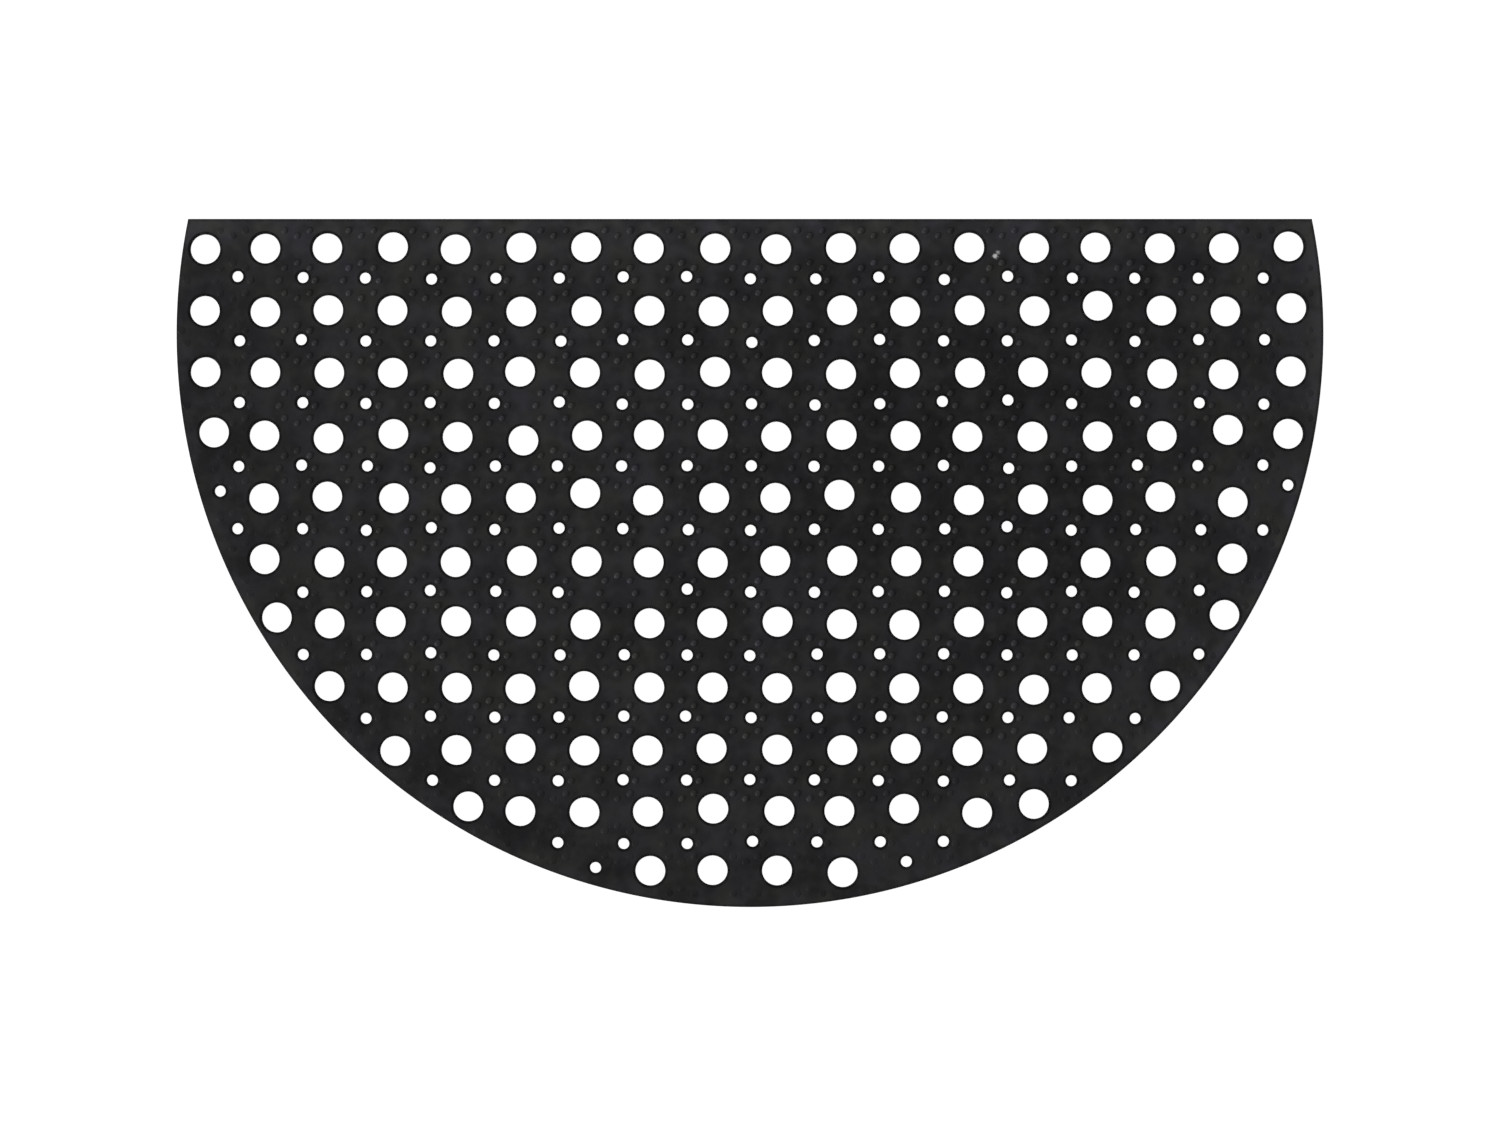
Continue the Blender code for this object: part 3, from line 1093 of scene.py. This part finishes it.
class DoormatStuds(bpy.types.PropertyGroup):
    """Sizes of the rings of studs on the trodden face."""
    pitch_across: length_setting("Pitch Across", 0.0419, "Spacing of the rings along X")
    pitch_deep: length_setting("Pitch Deep", 0.0409, "Spacing of the rings along Y")
    first_ring: place_setting("First Ring", (-0.3799, 0.2257, 0.0), "Centre of the ring at the top left")
    rings_across: count_setting("Rings Across", 19, "Rings along X")
    rings_deep: count_setting("Rings Deep", 12, "Rings along Y")
    ring_radius: length_setting("Ring Radius", 0.0116, "From a ring's centre to its studs")
    ring_count: count_setting("Studs In Ring", 8, "Studs in each ring")
    width: length_setting("Stud Width", 0.0055, "Across a stud's foot")
    height: length_setting("Stud Height", 0.00095, "Height of a stud over the face")
    root: length_setting("Stud Root", 0.0003, "How deep a stud's foot is sunk")
    dome: plain_setting("Stud Dome", 2.6, "How full a stud's rounding is, from a cone at 1 upwards")
    clear: length_setting("Clear Of Cuts", 0.0032, "Least room from a stud's centre to a cut")
    margin: length_setting("Margin Width", 0.095, "Width along the round edge where the studs rise less")
    least_rise: share_setting("Least Rise", 0.14, "Share of its height that a stud keeps at the round edge")
    seed: count_setting("Stud Seed", 3, "Seed of the studs' small differences")


class DoormatFinish(bpy.types.PropertyGroup):
    """Colour and surface of the rubber."""
    colour: bpy.props.FloatVectorProperty(
        name="Rubber", description="Colour of the black rubber", default=(0.0230, 0.0230, 0.0236),
        size=3, subtype="COLOR", min=0, max=1
    )
    sheen: share_setting("Sheen", 0.3, "Strength of the rubber's reflection")
    roughness: share_setting("Roughness", 0.55, "Dullness of the moulded skin")
    grain: plain_setting("Grains Per Metre", 1300.0, "Pebbles of the grain in a metre")
    patches: plain_setting("Patches Per Metre", 32.0, "Patches of deeper and paler tone in a metre")
    wear: share_setting("Wear", 0.35, "How rubbed and dusty the mat is")
    trodden_middle: place_setting("Trodden Middle", (0.12, 0.07, TOP), "Where the mat is trodden cleanest")
    trodden_reach: length_setting("Trodden Reach", 0.23, "How far the clean area reaches")
    dim_middle: place_setting("Dim Middle", (0.04, 0.16, TOP), "Middle of the round inside the dim margin")
    dim_reach: length_setting("Dim Reach", 0.37, "From there to the dim margin at the lower left")
    handled_strip: length_setting("Sheen Strip", 0.05, "Width along the straight edge where hands took it")
    faded_margin: length_setting("Pale Margin", 0.012, "How far in the rubber has faded at the round edge")
    grime_near: length_setting("Grime Near", 0.004, "From a stud's centre to the end of the full grime")
    grime_far: length_setting("Grime Far", 0.0085, "From a stud's centre to the end of all grime")
    knife_share: share_setting("Knife Share", 0.45, "How deep the outline's tone is beside a punched hole's")
    least_press: share_setting("Least Rim Shade", 0.6, "Share of its deeper tone that every part of a cut keeps")
    fleck_place: place_setting("Fleck Place", (0.1603, 0.2006, TOP), "Where the one pale fleck lies")
    fleck_reach: length_setting("Fleck Reach", 0.0019, "How far the fleck reaches")
    fleck_side: place_setting("Fleck Side Lobe", (0.0017, 0.0026, 0.0), "From its middle to its side lobe")
    fleck_side_reach: length_setting("Fleck Side Reach", 0.0015, "How far the side lobe reaches")
    fleck_side_share: share_setting("Fleck Side Share", 0.5, "How pale the side lobe is beside the fleck")


class DoormatStage(bpy.types.PropertyGroup):
    """Camera, lights and floor."""
    camera_height: length_setting("Camera Height", 5.0, "Camera above the floor")
    picture_width: length_setting("Picture Width", 0.9808, "Width on the mat that the picture shows")
    key_power: plain_setting("Key Power", 210.0, "Low soft light from the lower left", "POWER")
    top_power: plain_setting("Top Power", 16.0, "Broad soft light from beyond the straight edge", "POWER")
    sky: plain_setting("Room Light", 0.19, "Strength of the even light of the room")
    floor_glow: plain_setting("Floor Glow", 0.98, "How brightly the white floor is lit by itself")


# Operators

class DOORMAT_OT_sheet(bpy.types.Operator):
    """Make the punched rubber sheet in place of its plain solid"""
    bl_idname = "doormat.sheet"
    bl_label = "Punched sheet"

    def execute(self, context):
        sizes = context.scene.doormat_sheet
        holes = all_holes(sizes)
        sheet = new_object("rubber_sheet", punch_plan("rubber_sheet", holes, mat_outline(sizes.round_steps)))
        apply_tree(sheet, sheet_tree(), {
            **by_name(sizes), **MAT_VALUES, **rubber_finishes(context.scene),
            "Large Hole": large_from(holes),
        })
        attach(sheet, BODY)
        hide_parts("mat")
        return {"FINISHED"}


class DOORMAT_OT_studs(bpy.types.Operator):
    bl_idname = "doormat.studs"
    bl_label = "Stud rings"

    def execute(self, context):
        scene = context.scene
        holes = all_holes(scene.doormat_sheet)
        studs = new_object("stud_rings", punch_plan("stud_rings", holes))
        apply_tree(studs, stud_tree(), {
            **by_name(scene.doormat_studs), **MAT_VALUES, **rubber_finishes(scene),
            "Large Hole": large_from(holes),
        })
        for vertex in studs.data.vertices:
            vertex.co.z += TOP
        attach(studs, BODY)
        return {"FINISHED"}


class DOORMAT_OT_stage(bpy.types.Operator):
    """Set the white floor, the soft lights and the camera straight above"""
    bl_idname = "doormat.stage"
    bl_label = "Stage"

    def execute(self, context):
        scene = context.scene
        stage = scene.doormat_stage
        self.make_floor(stage)
        self.make_light(KEY_LAMP, stage.key_power)
        self.make_light(TOP_LAMP, stage.top_power)
        world = bpy.data.worlds.new("room")
        world.use_nodes = True
        sky = world.node_tree.nodes["Background"].inputs
        sky["Color"].default_value = WHITE
        sky["Strength"].default_value = stage.sky
        scene.world = world
        scene.view_settings.view_transform = "Standard"
        lens = bpy.data.cameras.new("camera")
        lens.sensor_width = SENSOR_WIDTH_MM
        lens.lens = lens.sensor_width * (stage.camera_height - TOP) / stage.picture_width
        lens.clip_end = CAMERA_SIGHT
        camera = new_object("camera", lens)
        camera.location = (0, 0, stage.camera_height)
        scene.camera = camera
        return {"FINISHED"}

    @staticmethod
    def make_floor(stage):
        mesh = bpy.data.meshes.new("floor")
        sides = ((-1, -1), (1, -1), (1, 1), (-1, 1))
        corners = [(x * FLOOR_REACH, y * FLOOR_REACH, -FLOOR_GAP) for x, y in sides]
        mesh.from_pydata(corners, [], [(0, 1, 2, 3)])
        _, surface, _ = new_material("white_floor", FLOOR_SHEEN)
        surface["Base Color"].default_value = FLOOR_COLOUR
        surface["Roughness"].default_value = FLOOR_ROUGHNESS
        surface["Emission Color"].default_value = WHITE
        surface["Emission Strength"].default_value = stage.floor_glow
        mesh.materials.append(bpy.data.materials["white_floor"])
        new_object("floor", mesh)

    @staticmethod
    def make_light(lamp, power):
        data = bpy.data.lights.new(lamp.name, "AREA")
        data.shape = "DISK"
        data.size = lamp.size
        data.energy = power
        light = new_object(lamp.name, data)
        light.location = lamp.place
        light.rotation_euler = (-Vector(lamp.place)).to_track_quat("-Z", "Y").to_euler()


class DOORMAT_PT_panel(bpy.types.Panel):
    """The doormat's settings and the buttons that build it"""
    bl_label = "Doormat"
    bl_space_type = "VIEW_3D"
    bl_region_type = "UI"
    bl_category = "Doormat"

    def draw(self, context):
        for owner in SETTINGS:
            settings = getattr(context.scene, owner)
            box = self.layout.box()
            for name in settings.__annotations__:
                box.prop(settings, name)
        for operator in ("doormat.sheet", "doormat.studs", "doormat.stage"):
            self.layout.operator(operator)


SETTINGS = {
    "doormat_sheet": DoormatSheet,
    "doormat_studs": DoormatStuds,
    "doormat_finish": DoormatFinish,
    "doormat_stage": DoormatStage,
}
CLASSES = (*SETTINGS.values(), DOORMAT_OT_sheet, DOORMAT_OT_studs, DOORMAT_OT_stage, DOORMAT_PT_panel)


def register():
    for made in CLASSES:
        bpy.utils.register_class(made)
    for name, kind in SETTINGS.items():
        setattr(bpy.types.Scene, name, bpy.props.PointerProperty(type=kind))


def unregister():
    for name in SETTINGS:
        delattr(bpy.types.Scene, name)
    for made in reversed(CLASSES):
        bpy.utils.unregister_class(made)


def main():
    register()
    bpy.ops.doormat.sheet()
    bpy.ops.doormat.studs()
    bpy.ops.doormat.stage()


if __name__ == "__main__":
    main()
